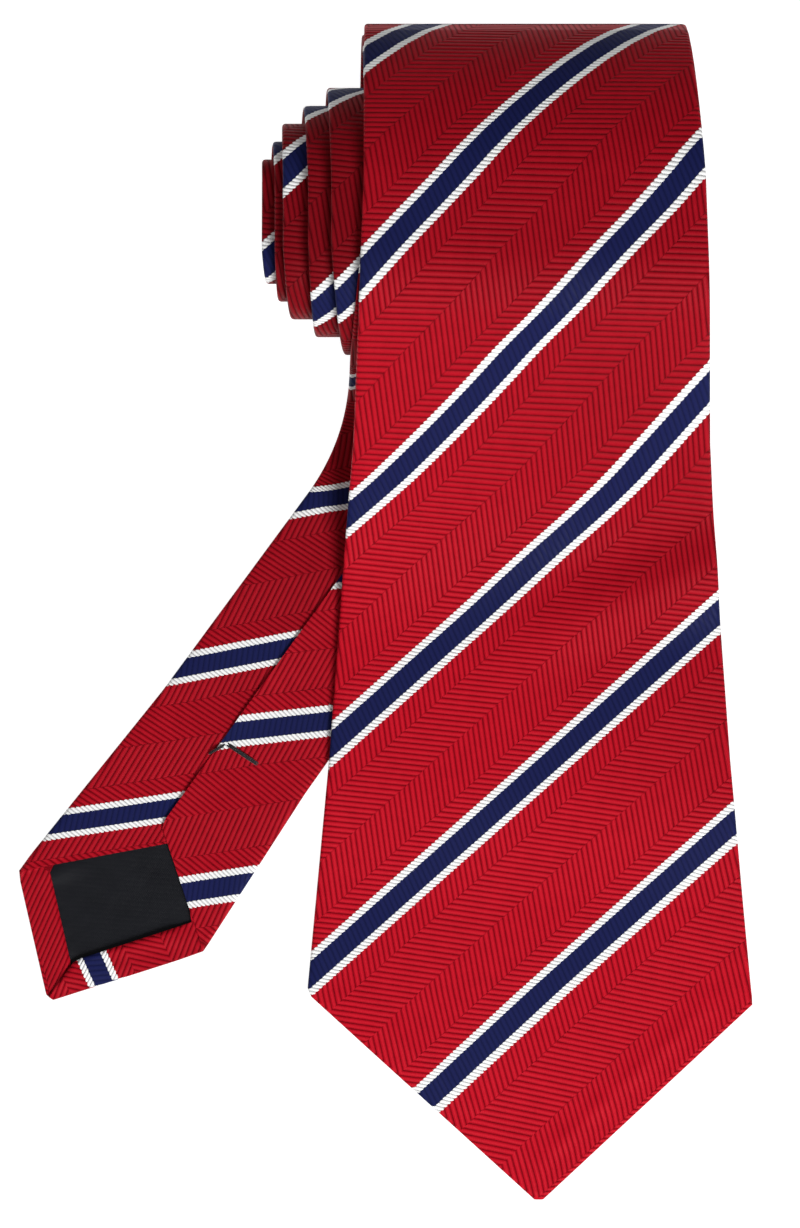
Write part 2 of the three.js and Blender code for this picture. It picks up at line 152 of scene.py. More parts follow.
def falling_line(layer, angle, foot, reach, step):
    """From the roll's crest down to the table: distance from the axis, height and lean."""
    top = roll_height + crest_radius + layer * pitch / 2
    line = [(q, top, 0.0) for q in np.linspace(0, half_flat, 4)]
    for lean in np.radians(np.arange(arc_step, angle + 0.1, arc_step)):
        radius = crest_radius + pitch * lean / math.pi + layer * pitch / 2
        line.append((half_flat + radius * math.sin(lean), roll_height + radius * math.cos(lean), lean))
    last_q, last_z, lean = line[-1]
    touch = last_q + (last_z - thickness / 2) / math.tan(lean) + foot * math.tan(lean / 2)
    foot_top = touch - foot * math.sin(lean)
    for q in np.linspace(last_q, foot_top, max(2, round((foot_top - last_q) / step)))[1:-1]:
        line.append((q, last_z - (q - last_q) * math.tan(lean), lean))
    for angle_here in np.linspace(lean, 0, 13):
        height = thickness / 2 + foot * (1 - math.cos(angle_here))
        line.append((touch - foot * math.sin(angle_here), height, angle_here))
    for q in np.linspace(touch, reach, round((reach - touch) / step))[1:]:
        line.append((q, thickness / 2, 0.0))
    return line


def wide_end(step):
    depth = max(wide_tip["left"], wide_tip["right"])
    rows = []
    for q, z, lean in falling_line(1, wide_angle, wide_foot, wide_reach, step):
        prop = smooth(propped_from, propped_full, q) * (1 - smooth(propped_until, propped_gone, q))
        aside = wide_tip["aside"] * max(0, 1 - (wide_reach - q) / depth)
        front = (0, -math.sin(lean), math.cos(lean))
        rows.append(((aside, -q, z + pitch * prop), (1, 0, 0), front, -1))
    return rows[::-1]


def narrow_end(step):
    bend_length = tail_bend_radius * math.radians(tail_bend_angle)
    rows = []
    for q, z, lean in falling_line(-1, narrow_angle, narrow_foot, narrow_reach, step):
        bent = min(max(0, q - tail_bend_from), bend_length)
        heading = bent / tail_bend_radius
        after = max(0, q - tail_bend_from - bend_length)
        before = min(q, tail_bend_from)
        aside = crest_aside + (tail_aside - crest_aside) * before / tail_bend_from
        x = -aside - tail_bend_radius * (1 - math.cos(heading)) - after * math.sin(heading)
        y = -before - tail_bend_radius * math.sin(heading) - after * math.cos(heading)
        ahead = np.array((-math.sin(heading), -math.cos(heading), 0))
        along = ahead * math.cos(lean) - np.array((0, 0, math.sin(lean)))
        across = np.array((math.cos(heading), -math.sin(heading), 0))
        rows.append(((x, y, z), tuple(across), tuple(np.cross(across, along)), -1))
    return rows


def rolled_half(layer):
    rows = []
    steps_in_half = round(180 / (2 * arc_step))
    for half in range(half_turns):
        side = 1 if half % 2 == 0 else -1
        for i in range(steps_in_half + 1):
            turned = half + i / steps_in_half
            angle = math.pi / 2 - math.pi * turned
            out = np.array((0, math.cos(angle), math.sin(angle)))
            middle = out * (crest_radius - pitch * turned + layer * pitch / 2)
            stand = loose_arch * math.sin(math.pi * turned) ** 2 if half == 0 else 0
            middle = middle + np.array((0, side * half_flat + stand, roll_height))
            rows.append((tuple(middle), (1, 0, 0), tuple(out * layer), turned / 2))
    return rows


def neck_fold():
    side = 1 if half_turns % 2 == 0 else -1
    centre = np.array((0, side * (half_flat - fold_inset), roll_height + side * core_radius))
    rows = []
    for angle in np.linspace(0, math.pi, 9):
        out = np.array((0, side * math.sin(angle), side * math.cos(angle)))
        rows.append((tuple(centre + out * pitch / 2), (1, 0, 0), tuple(out), half_turns / 2))
    return rows


class TiePath:
    """The middle of the tie from its wide point to its narrow one, by running distance."""

    def __init__(self, step):
        wide, outer, fold, inner = wide_end(step), rolled_half(1), neck_fold(), rolled_half(-1)[::-1]
        rows = wide + outer + fold + inner + narrow_end(step)
        self.middle = np.array([row[0] for row in rows], float)
        self.across = np.array([row[1] for row in rows], float)
        self.front = np.array([row[2] for row in rows], float)
        turns = np.array([row[3] for row in rows], float)
        moves = np.diff(self.middle, axis=0)
        rolled = (turns[1:] >= 0) | (turns[:-1] >= 0)
        moves[rolled, 0] = 0
        self.run = np.concatenate(([0], np.cumsum(np.linalg.norm(moves, axis=1))))
        self.length = self.run[-1]
        first_outer = len(wide)
        first_inner = first_outer + len(outer) + len(fold)
        self.crest = self.run[first_outer]
        self.half_way = self.run[first_outer + len(outer) // half_turns // 2]
        self.narrow_crest = self.run[first_inner + len(inner)]
        crest_edge = -table(wide_widths, self.crest) / 2
        edge = crest_edge - table(stick_out, turns)
        outer_part = slice(first_outer, first_outer + len(outer))
        centre = edge[outer_part] + table(wide_widths, self.run[outer_part]) / 2
        self.middle[outer_part, 0] = centre
        fold_run = self.run[first_outer + len(outer)]
        fold_centre = edge[first_outer + len(outer)] + table(wide_widths, fold_run) / 2
        self.middle[first_outer + len(outer) : first_inner, 0] = fold_centre
        share = turns[first_inner : first_inner + len(inner)] / (half_turns / 2)
        inner_part = slice(first_inner, first_inner + len(inner))
        self.middle[inner_part, 0] = -crest_aside + (fold_centre + crest_aside) * share
        self.middle[:, 0] += crest_x / MM
        self.middle[:, 1] += crest_y / MM

    def at(self, run):
        parts = []
        for values in (self.middle, self.across, self.front):
            parts.append(np.array([np.interp(run, self.run, values[:, k]) for k in range(3)]))
        return parts

    def stations(self, start, end, closest=0.05):
        inside = [r for r in self.run if start + closest < r < end - closest]
        kept = [r for i, r in enumerate(inside) if i == 0 or r - inside[i - 1] > closest]
        return [start, *kept, end]


path = TiePath(1.6)


def outline(run):
    """Half widths and flap reaches where the tie has run this far."""
    from_narrow = path.length - run
    near_wide = run < from_narrow
    tip = wide_tip if near_wide else narrow_tip
    distance = min(run, from_narrow)
    width = table(wide_widths if near_wide else narrow_widths, distance)

    def half(depth):
        return tip_point + (width / 2 - tip_point) * min(1, distance / depth)

    def reach(depth, lap, grows):
        # the hem keeps its width along the point's edge until the flap's end covers it
        corner = table(wide_widths if near_wide else narrow_widths, depth) / 2
        slant = (corner - tip_point) / depth
        past_corner = half(depth) - (tip_point + slant * distance)
        hem = hem_reach * math.hypot(1, slant) + past_corner
        hem = min(hem, half(depth) - hem_gap)
        return min(max(hem, (distance - depth) * grows), half(depth) + lap)

    left_reach = reach(tip["left"], lap_left, tip["left_grows"])
    right_reach = reach(tip["right"], lap_right, tip["right_grows"])
    return half(tip["left"]), half(tip["right"]), left_reach, right_reach


def side_slopes(run, step=0.4):
    """How fast each folded side widens, along the run."""
    if path.length - run < path.length / 2:
        return 0.0, 0.0
    before, after = outline(max(0, run - step)), outline(min(path.length, run + step))
    gap = min(path.length, run + step) - max(0, run - step)
    return (after[0] - before[0]) / gap, (after[1] - before[1]) / gap


flap_outer, flap_inner = silk_ply + ply_gap, silk_ply + ply_gap + silk_ply
front_inner = thickness - silk_ply
least_flap, edge_width, widest_share = 0.3, 0.04, 0.98
fold_points, inner_fold_points = 7, 6
hem_creep = 3.4  # how far the pattern is moved along the narrow end's right hem
hem_creep_across, hem_creep_along = 0.6, 0.8
wide_tack_at, narrow_tack_at = 84, 57  # from each point to its bar tack, which holds the flaps down
left_loose, right_loose, hem_loose = 0.14, 0.34, 0.24
loose_from_edge, hem_loose_from_edge, wide_hold = 4.5, 4, 0.4


def flap(run, side, half, reach, slope):
    """One turned-in side of the silk: where its points lie on the cloth before folding.

    Near a point the hem turned in along the slanted edge shows past the flap's own end.
    """
    near_wide = run < path.length - run
    tip, key = (wide_tip if near_wide else narrow_tip), ("left" if side < 0 else "right")
    distance = min(run, path.length - run)
    depth = tip[key]
    corner = table(wide_widths if near_wide else narrow_widths, depth) / 2
    slant = (corner - tip_point) / depth
    end_line = (distance - depth) * tip[key + "_grows"]
    split = float(np.clip(end_line, least_flap, widest_share * reach))
    hem_shows = end_line < widest_share * reach
    hem_slope = slant if near_wide else -slant

    def on_cloth(inward, hem):
        line = tip_point + slant * distance if hem else half
        tilt = hem_slope if hem else slope
        creep = hem_creep if hem and side > 0 and not near_wide else 0
        past = half - inward - line
        k = 2 * past / (1 + tilt**2)
        cloth_w = side * (half - inward - k) + creep * hem_creep_across
        return cloth_w, run + k * tilt - creep * hem_creep_along

    def is_hem(inward):
        return distance <= depth or (hem_shows and inward > split + edge_width / 2)

    def loose(inward):
        # the free end of the flap stands a little off what it lies on
        if hem_shows and distance > depth:
            if inward > split:
                return 0.0
            return hem_loose * (1 - smooth(0, hem_loose_from_edge, split - inward))
        hold = wide_hold if near_wide else smooth(2, 8, abs(path.length - run - narrow_tack_at))
        free = right_loose if side > 0 else left_loose
        return free * hold * (1 - smooth(0, loose_from_edge, reach - inward))

    return split, on_cloth, is_hem, loose


def silk_section(run, columns):
    """The folded silk cut across: rows of (across, depth, cloth across, cloth along)."""
    left, right, left_reach, right_reach = outline(run)
    slopes = side_slopes(run)
    sides = {
        -1: (left, left_reach, flap(run, -1, left, left_reach, slopes[0]), flap_outer),
        1: (right, right_reach, flap(run, 1, right, right_reach, slopes[1]), 0),
    }
    few = max(4, columns // 4)
    rows = []

    def flat_ply(start, end, depth, count):
        rows.extend((w, depth, w, run) for w in np.linspace(start, end, count))

    def flap_side(side, inwards, depth):
        half, reach, (_, on_cloth, is_hem, loose), _ = sides[side]
        for inward in inwards:
            inward = min(inward, reach)
            cloth = on_cloth(inward, is_hem(inward))
            rows.append((side * (half - inward), depth - loose(inward), *cloth))

    def inset(side):
        half, _, _, outer = sides[side]
        return min((thickness - outer) / 2, half * 0.8)

    def fold_start(side):
        return min(inset(side), sides[side][2][0] * 0.9)

    def outer_inwards(side):
        _, reach, (split, *_), _ = sides[side]
        near = np.linspace(fold_start(side), split, columns // 3)
        return [*near, *np.linspace(split + edge_width, reach, columns // 4)]

    def fold(side, low, high, across, count, forward):
        # round the folded edge, from the front ply to the flap or back
        half, _, (_, on_cloth, is_hem, _), _ = sides[side]
        start = fold_start(side)
        back_w, back_run = on_cloth(start, is_hem(start))
        front_w = side * (half - inset(side))
        for angle in np.linspace(0, math.pi, count)[1:-1]:
            a = angle if forward else math.pi - angle
            share = a / math.pi
            base = front_w + (side * (half - start) - front_w) * share
            w = base + side * (across - (abs(base) - abs(front_w))) * math.sin(a)
            depth = (low + high) / 2 + (high - low) / 2 * math.cos(a)
            cloth = front_w + (back_w - front_w) * share, run + (back_run - run) * share
            rows.append((w, depth, *cloth))

    flat_ply(-left + inset(-1), right - inset(1), thickness, columns)
    fold(1, 0, thickness, inset(1), fold_points, True)
    flap_side(1, outer_inwards(1), 0)
    flap_side(1, np.linspace(right_reach, inset(1), few), silk_ply)
    fold(1, silk_ply, front_inner, inset(1) * 0.6, inner_fold_points, False)
    flat_ply(right - inset(1), -left + inset(-1), front_inner, few)
    fold(-1, flap_inner, front_inner, inset(-1) * 0.5, inner_fold_points, True)
    flap_side(-1, np.linspace(inset(-1), left_reach, few), flap_inner)
    flap_side(-1, outer_inwards(-1)[::-1], flap_outer)
    fold(-1, flap_outer, thickness, inset(-1), fold_points, False)
    return rows


hem_ridge_height, hem_ridge_width = 0.42, 1.7
dent_slant = 0.35
dent_ridge = {"height": 2.9, "run": 108, "width": 6.5}
dent_hollow = {"height": 0.9, "run": 122, "width": 7}
pucker_height, pucker_inward, pucker_width = 0.42, 3.4, 2.2


def hump(x, middle, width):
    return math.exp(-(((x - middle) / width) ** 2))


def drape(run, w):
    """How far the laid ends stand up off a flat table, in soft waves."""
    left, right = outline(run)[:2]
    lift = 0.0
    if run < path.crest:
        if run < wide_tip["left"]:
            dimples = 0.65 + 0.35 * math.sin((w + run) / 2.1)
            tip_edge = min(w + left, right - w) * 0.7
            lift += hem_ridge_height * hump(tip_edge, hem_reach, hem_ridge_width) * dimples
        dent_run = run - dent_slant * w
        ridge = hump(dent_run, dent_ridge["run"], dent_ridge["width"]) * smooth(-14, 18, w)
        hollow = hump(dent_run, dent_hollow["run"], dent_hollow["width"]) * smooth(-6, 20, w)
        lift += dent_ridge["height"] * ridge - dent_hollow["height"] * hollow
        lying = smooth(8, 30, run) * (1 - smooth(120, 175, run))
        lift += 0.22 * lying * (1 + math.sin(run / 17 + w / 21))
        lift += 0.35 * lying * (1 + math.sin(run / 29 - w / 13)) * smooth(0, 38, abs(w))
    elif run > path.narrow_crest:
        distance = path.length - run
        lying = smooth(3, 12, distance) * (1 - smooth(95, 110, distance))
        lift += 0.12 * lying * (1 + math.sin(distance / 9 + w / 8))
        if distance < narrow_tip["right"]:
            tip_edge = min((w + left) * 0.66, (right - w) * 0.8)
            creases = abs(math.sin((w - distance) / 2.3))
            lift += pucker_height * hump(tip_edge, pucker_inward, pucker_width) * creases
    return lift


def put(run, w, depth):
    middle, across, front = path.at(run)
    point = middle + across * w + front * (depth - thickness / 2)
    point[2] += drape(run, w)
    return Vector(point * MM)


def loft(name, rings, cloth):
    """A closed mesh through rings of points, with the cloth's own coordinates as its UV map."""
    count = len(rings[0])
    points = [point for ring in rings for point in ring]
    faces = []
    for i in range(len(rings) - 1):
        for j in range(count):
            k = (j + 1) % count
            faces.append((i * count + j, i * count + k, (i + 1) * count + k, (i + 1) * count + j))
    faces.append(tuple(range(count))[::-1])
    faces.append(tuple((len(rings) - 1) * count + j for j in range(count)))
    mesh = bpy.data.meshes.new(name)
    mesh.from_pydata(points, [], faces)
    flat_cloth = [pair for ring in cloth for pair in ring]
    uv = mesh.uv_layers.new(name="Cloth")
    for loop in mesh.loops:
        uv.data[loop.index].uv = flat_cloth[loop.vertex_index]
    body = bmesh.new()
    body.from_mesh(mesh)
    bmesh.ops.recalc_face_normals(body, faces=body.faces)
    for face in body.faces:
        face.smooth = len(face.verts) <= 4
    body.to_mesh(mesh)
    body.free()
    piece = bpy.data.objects.new(name, mesh)
    bpy.context.scene.collection.objects.link(piece)
    return piece


stripe_repeat = 30.2
wide_grain = math.radians(41.7)
wide_stripe_at = 39.7
# rows of how far the stripes are shifted along the run, how far they are tilted,
# and how far they are moved square to themselves near the point
wide_stretch = ((0, 0), (112, 0), (121.5, 0.8), (135.6, 2.2), (151.5, 6.6), (163, 9.8), (172.4, 12.9),
                (184, 14.8), (192.5, 15.4), (201, 15.9), (209, 17.2), (218, 16.5), (228, 15.3), (240, 14.3),
                (250, 14.5), (315, 1), (380, 1), (450, 0.5), (520, 0.2), (575, 7.2), (640, 7.2))
wide_skew = ((0, 0), (131, 0), (151.5, 0.055), (163, 0.076), (184, 0.075), (201, 0.063), (209, 0.094),
             (218, 0.10), (228, 0.09), (240, 0.06), (262, 0), (640, 0))
tip_creep_until = 150
tip_creep = ((-60, 6), (-27, 6), (-4, 1.7), (4, 1.7), (26, 0), (60, 0))
narrow_pivot, twist_gone = 70, (120, 180)
narrow_left = {"grain": math.radians(47.4), "ease": 1.117, "phase": 12.8}
narrow_right = {"grain": math.radians(41.8), "ease": 1.098, "phase": 18.6}


def wide_cut(w, run, run_here):
    """Along and across the stripes, on the panel that the wide end is cut from."""
    near = run + np.array((-5, -2.5, 0, 2.5, 5))
    stretch, skew = float(np.mean(table(wide_stretch, near))), float(np.mean(table(wide_skew, near)))
    run = run - stretch - w * skew
    along = w * math.cos(wide_grain) + run * math.sin(wide_grain)
    across = (run - wide_stripe_at) * math.cos(wide_grain) - w * math.sin(wide_grain)
    return along, across + (table(tip_creep, across) if run < tip_creep_until else 0)


def narrow_cut(w, run, run_here):
    """The same on the narrow panel, whose pattern differs a little between its two flaps."""
    left, right = outline(run_here)[:2]
    distance = path.length - run
    share = float(np.clip((w + left) / (left + right), 0, 1))
    twist = 0.5 + (share - 0.5) * (1 - smooth(*twist_gone, path.length - run_here))

    def between(key):
        return narrow_left[key] + (narrow_right[key] - narrow_left[key]) * twist

    grain = between("grain")
    along = distance * math.sin(grain) - w * math.cos(grain)
    across = (distance - narrow_pivot) * math.cos(grain) + w * math.sin(grain)
    return along, across * between("ease") - between("phase")


def silk_panel(name, start, end, cut, columns):
    rings, cloth = [], []
    for run in path.stations(start, end):
        section = silk_section(run, columns)
        rings.append([put(run, w, depth) for w, depth, _, _ in section])
        cloth.append([cut(cloth_w, cloth_run, run) for _, _, cloth_w, cloth_run in section])
    return loft(name, rings, cloth)


def cloth_size(start, end, share=lambda run: sum(outline(run))):
    """The flat cut of a panel: its greatest width, its length and its area, in metres."""
    runs = np.linspace(start, end, 60)
    widths = [share(run) for run in runs]
    area = sum((a + b) / 2 * (next_run - this_run)
               for a, b, this_run, next_run in zip(widths, widths[1:], runs, runs[1:]))
    return (max(widths) * MM, (end - start) * MM), float(area) * MM * MM


class Value:
    """One number of a finish, worked out at each point of the surface."""

    def __init__(self, finish, socket):
        self.finish = finish
        self.socket = socket

    def __add__(self, other):
        return self.finish.math("ADD", self, other)

    def __sub__(self, other):
        return self.finish.math("SUBTRACT", self, other)

    def __rsub__(self, other):
        return self.finish.math("SUBTRACT", other, self)

    def __mul__(self, other):
        return self.finish.math("MULTIPLY", self, other)

    def __truediv__(self, other):
        return self.finish.math("DIVIDE", self, other)

    __radd__ = __add__
    __rmul__ = __mul__


class Finish:
    """A material made of nodes round one Principled shader."""

    def __init__(self, name, **constants):
        self.material = bpy.data.materials.new(name)
        self.material.use_nodes = True
        self.tree = self.material.node_tree
        self.shader = self.tree.nodes["Principled BSDF"]
        for socket, value in constants.items():
            self.shader.inputs[socket.replace("_", " ")].default_value = value

    def node(self, kind, settings, inputs):
        node = self.tree.nodes.new(kind)
        for key, value in settings.items():
            if key == "stops":
                while len(node.color_ramp.elements) < len(value):
                    node.color_ramp.elements.new(0.5)
                for element, (place, colour) in zip(node.color_ramp.elements, value):
                    element.position = place
                    element.color = (*colour, 1)
            else:
                setattr(node, key, value)
        for key, value in inputs.items():
            self.feed(node.inputs[key], value)
        return node

    def feed(self, socket, value):
        if isinstance(value, Value):
            self.tree.links.new(value.socket, socket)
        elif isinstance(value, bpy.types.NodeSocket):
            self.tree.links.new(value, socket)
        else:
            socket.default_value = value

    def math(self, operation, *values):
        node = self.node("ShaderNodeMath", {"operation": operation}, dict(enumerate(values)))
        return Value(self, node.outputs[0])

    def cloth(self):
        """Along and across the stripes, in millimetres of cloth."""
        uv = self.node("ShaderNodeUVMap", {"uv_map": "Cloth"}, {})
        parts = self.node("ShaderNodeSeparateXYZ", {}, {0: uv.outputs[0]})
        return Value(self, parts.outputs[0]), Value(self, parts.outputs[1]), uv.outputs[0]

    def mix(self, share, first, second):
        def colour(value):
            return (*value, 1) if isinstance(value, tuple) else value

        node = self.node(
            "ShaderNodeMix", {"data_type": "RGBA"}, {0: share, 6: colour(first), 7: colour(second)}
        )
        return node.outputs[2]

    def ramp(self, value, stops):
        node = self.node("ShaderNodeValToRGB", {"stops": stops}, {0: value})
        return node.outputs[0]

    def step(self, value, at, soft):
        """0 below a place and 1 above it, with a soft edge this wide."""
        return self.math("MAXIMUM", self.math("MINIMUM", (value - at) / soft + 0.5, 1.0), 0.0)

    def part(self, value, low, high):
        """How much of the span from low to high lies below the value."""
        return self.math("MINIMUM", self.math("MAXIMUM", value - low, 0.0), high - low)

    def rib(self, phase):
        """Round ribs with sharp grooves: 1 on a crest, 0 in a groove."""
        swing = self.math("FRACT", phase) * 2 - 1
        return 1 - swing * swing

    def noise(self, vector, scale, detail=2.0):
        node = self.node("ShaderNodeTexNoise", {}, {"Vector": vector, "Scale": scale, "Detail": detail})
        return Value(self, node.outputs[0])

    def bump(self, height, distance, strength=1.0):
        inputs = {"Height": height, "Distance": distance, "Strength": strength}
        node = self.node("ShaderNodeBump", {}, inputs)
        self.feed(self.shader.inputs["Normal"], node.outputs[0])


# Painted shade: past this place along the cloth the red ground is darkened to this share, standing in for
# the shade that falls up toward the roll's crest.
painted_shade_at, painted_shade_soft, painted_shade_share = 84, 56, 0.70


# depth below 1 darkens the red ground as painted shade, for the copies of this silk in the roll's turns and
# on the narrow tail.
def striped_silk(name="striped_silk", depth=1.0):
    """Herringbone ground in red, crossed by navy stripes with a white cord along each side."""
    reds = ((0.0, (0.140, 0.0006, 0.004)), (0.45, (0.340, 0.0015, 0.009)), (1.0, (0.510, 0.006, 0.018)))
    navy_groove, navy_crest = (0.0040, 0.0058, 0.036), (0.0095, 0.0125, 0.074)
    white_groove, white_body, white_crest = (0.50, 0.50, 0.51), (0.78, 0.78, 0.78), (0.90, 0.90, 0.89)
    stripe_edge, navy_edge = 3.15, 1.95
    columns = ((3.15, 6.85, 0.91), (6.85, 14.85, -0.667), (14.85, 22.85, 0.91), (22.85, 27.05, -0.667))
    flat_rib, steep_rib = 1.38, 1.25
    cord_pitch, cord_angle, navy_pitch = 0.71, math.radians(53.7), 1.0
    silk = Finish(name, IOR=1.45, Sheen_Weight=0.01, Sheen_Roughness=0.4, Specular_IOR_Level=0.06)
    along, across, vector = silk.cloth()
    place = silk.math("FRACT", across / stripe_repeat) * stripe_repeat
    zigzag = sum(silk.part(place, low, high) * slope for low, high, slope in columns)
    flats = sum(silk.step(place, low, 0.08) - silk.step(place, high, 0.08)
                for low, high, slope in columns if slope > 0)
    ribs = silk.rib((along + zigzag) / (steep_rib + flats * (flat_rib - steep_rib)))
    threads = silk.rib((along * 0.5 - across) / 0.36)
    cords = silk.rib((along * math.sin(cord_angle) + across * math.cos(cord_angle)) / cord_pitch)
    navy_ribs = silk.rib((along * 0.95 - across * 0.3) / navy_pitch)
    from_middle = silk.math("MINIMUM", place, stripe_repeat - place)
    scallop = from_middle + 0.13 - cords * 0.26
    outside = silk.step(scallop, stripe_edge, 0.12)
    white = silk.step(from_middle - 0.08 + cords * 0.16, navy_edge, 0.12)
    mottle = silk.noise(vector, 0.35, 3.0)
    slub = silk.noise(vector, 2.2, 2.0)
    tone = ribs * (0.88 + threads * 0.12) + (mottle - 0.5) * 0.30 + (slub - 0.5) * 0.30

    def ground(share):
        return silk.ramp(tone, [(at, tuple(channel * share for channel in colour)) for at, colour in reds])

    # Painted shade: the red is darkened along the cloth toward the roll.
    red = silk.mix(silk.step(along, painted_shade_at, painted_shade_soft), ground(depth), ground(depth * painted_shade_share))
    navy = silk.mix(navy_ribs * 0.7 + slub * 0.3, navy_groove, navy_crest)
    pale = silk.ramp(cords, ((0.0, white_groove), (0.4, white_body), (1.0, white_crest)))
    stripe = silk.mix(white, navy, pale)
    silk.feed(silk.shader.inputs["Base Color"], silk.mix(outside, stripe, red))
    silk.feed(silk.shader.inputs["Roughness"], 0.66 - ribs * 0.18)
    stripe_height = white * cords * 1.25 + (1 - white) * navy_ribs * 0.3
    height = outside * (ribs + threads * 0.12) + (1 - outside) * stripe_height
    silk.bump(height, 0.14 * MM)
    return silk.material


silk_finish = striped_silk()

blade_end = path.crest + 0.45 * (path.half_way - path.crest) * 2
wide_blade_cloth = silk_panel("wide_blade_cloth", 0, blade_end, wide_cut, 44)
wide_blade_cloth.data.materials.append(silk_finish)


def blend_over_crest(piece):
    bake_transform(piece)


blend_over_crest(wide_blade_cloth)
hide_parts("wide_blade_silk")
flat, area = cloth_size(0, blade_end)

# ---- The rolled part --------------------------------------------------------------
# The rest of the tie, wound five and a half times round the fold at its neck: the wide
# panel's upper length, the narrow neck panel, and the narrow panel down to the crest.
# Each is folded silk like the blade, and they are pieced end to end on the bias.
wide_seam = 640
narrow_seam = path.length - 525
cut_gap = 0.3
neck_grain_shift = -6


def neck_cut(w, run, run_here):
    along, across = wide_cut(w, run, run_here)
    return along, across + neck_grain_shift


# Painted shade: this copy of the striped silk has its red at 0.62 to stand in for the shade between the
# roll's turns.
wound_shaded_silk = striped_silk("striped_silk_wound_shaded", 0.62)
rolled_panels = (
    ("rolled_wide_cloth", "rolled_wide_silk", blade_end, wide_seam, wide_cut, 20),
    ("neck_cloth", "neck_silk", wide_seam, narrow_seam, neck_cut, 12),
    ("rolled_narrow_cloth", "rolled_narrow_silk", narrow_seam, path.narrow_crest, narrow_cut, 14),
)
for name, node, start, end, cut, columns in rolled_panels:
    panel = silk_panel(name, start + cut_gap / 2, end - cut_gap / 2, cut, columns)
    panel.data.materials.append(wound_shaded_silk)
    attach(panel, "roll")
    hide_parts(node)
    flat, area = cloth_size(start, end)


def blend_over_tail(piece):
    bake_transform(piece)


# Painted shade: this copy of the striped silk has its red at 0.80 to stand in for the narrow tail lying
# darker under the light.
tail_shaded_silk = striped_silk("striped_silk_narrow_shaded", 0.80)
narrow_tail_cloth = silk_panel(
    "narrow_tail_cloth", path.narrow_crest + cut_gap / 2, path.length, narrow_cut, 30
)
narrow_tail_cloth.data.materials.append(tail_shaded_silk)
blend_over_tail(narrow_tail_cloth)
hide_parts("narrow_tail_silk")
flat, area = cloth_size(path.narrow_crest, path.length)


# ---- Interlining ------------------------------------------------------------------
# One long bias strip of brushed wool inside the silk, from just short of one point to
# just short of the other. It gives the tie its body, and is held by the slip stitch.
interlining_inset = 0.9
interlining_short = 6
tipping_back = flap_inner + ply_gap
interlining_back = tipping_back + tipping_ply + 2 * ply_gap
interlining_front = front_inner - ply_gap


def layer_section(inset, back, front, columns):
    """A plain layer inside the silk, cut across, with soft edges."""
    def section(run):
        left, right = outline(run)[:2]
        start, end = min(inset, left * 0.8) - left, right - min(inset, right * 0.8)
        edge, middle = (front - back) / 2, (front + back) / 2
        rows = [(w, front) for w in np.linspace(start + edge, end - edge, columns)]
        rows += [(end, middle)]
        rows += [(w, back) for w in np.linspace(end - edge, start + edge, columns)]
        return rows + [(start, middle)]
    return section


def layer_piece(name, start, end, section):
    rings, cloth = [], []
    for run in path.stations(start, end):
        rows = section(run)
        rings.append([put(run, w, depth) for w, depth in rows])
        cloth.append([(w, run) for w, depth in rows])
    return loft(name, rings, cloth)


def brushed_wool():
    """Cream wool, plain woven and brushed until its fibres hide the threads."""
    wool = Finish("brushed_wool", Roughness=0.95, Sheen_Weight=0.4, Specular_IOR_Level=0.1)
    across, along, vector = wool.cloth()
    fibres = wool.noise(vector, 2.6, 6.0)
    threads = wool.rib(across / 0.9) * wool.rib(along / 0.9)
    tone = wool.ramp(fibres * 0.7 + threads * 0.3,
                     ((0.15, (0.55, 0.50, 0.41)), (0.55, (0.74, 0.70, 0.61)), (0.9, (0.84, 0.81, 0.73))))
    wool.feed(wool.shader.inputs["Base Color"], tone)
    wool.bump(fibres + threads * 0.5, 0.2 * MM)
    return wool.material


wool_finish = brushed_wool()
wool_section = layer_section(interlining_inset, interlining_back, interlining_front, 24)
wool_lengths = (
    ("blade_wool", "blade_interlining", interlining_short, blade_end),
    ("rolled_wool", "rolled_interlining", blade_end, path.narrow_crest),
    ("tail_wool", "tail_interlining", path.narrow_crest, path.length - interlining_short),
)
for name, node, start, end in wool_lengths:
    wool_piece = layer_piece(name, start + cut_gap / 2, end - cut_gap / 2, wool_section)
    wool_piece.data.materials.append(wool_finish)
    if name == "blade_wool":
        blend_over_crest(wool_piece)
    elif name == "tail_wool":
        blend_over_tail(wool_piece)
    else:
        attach(wool_piece, "roll")
    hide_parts(node)
    flat, area = cloth_size(start, end, lambda run: sum(outline(run)[:2]) - 2 * interlining_inset)


# ---- Tipping ----------------------------------------------------------------------
# The lining of each point: a small piece of black satin laid over the interlining,
# whose edges are caught under the turned-in hems and the ends of the flaps.
tipping_inset = 0.7
tipping_start = 3
wide_tipping_length = 78
narrow_tipping_length = 42


def black_satin():
    """Black satin: long floats lying side by side, which shine softly along their length."""
    satin = Finish("black_satin", IOR=1.45, Sheen_Weight=0.02, Sheen_Roughness=0.3, Specular_IOR_Level=0.16)
    across, along, vector = satin.cloth()
    floats = satin.rib(across / 0.32)
    steps = satin.rib((across * 0.6 + along) / 1.1)
    wear = satin.noise(vector, 0.18, 3.0)
    tone = satin.ramp(floats * 0.5 + wear * 0.5,
                      ((0.1, (0.0018, 0.0020, 0.0034)), (0.9, (0.0045, 0.0050, 0.0080))))
    satin.feed(satin.shader.inputs["Base Color"], tone)
    satin.feed(satin.shader.inputs["Roughness"], 0.36 + wear * 0.18)
    satin.bump(floats * 0.4 + steps * 0.2 + wear * 4.0, 0.03 * MM)
    return satin.material


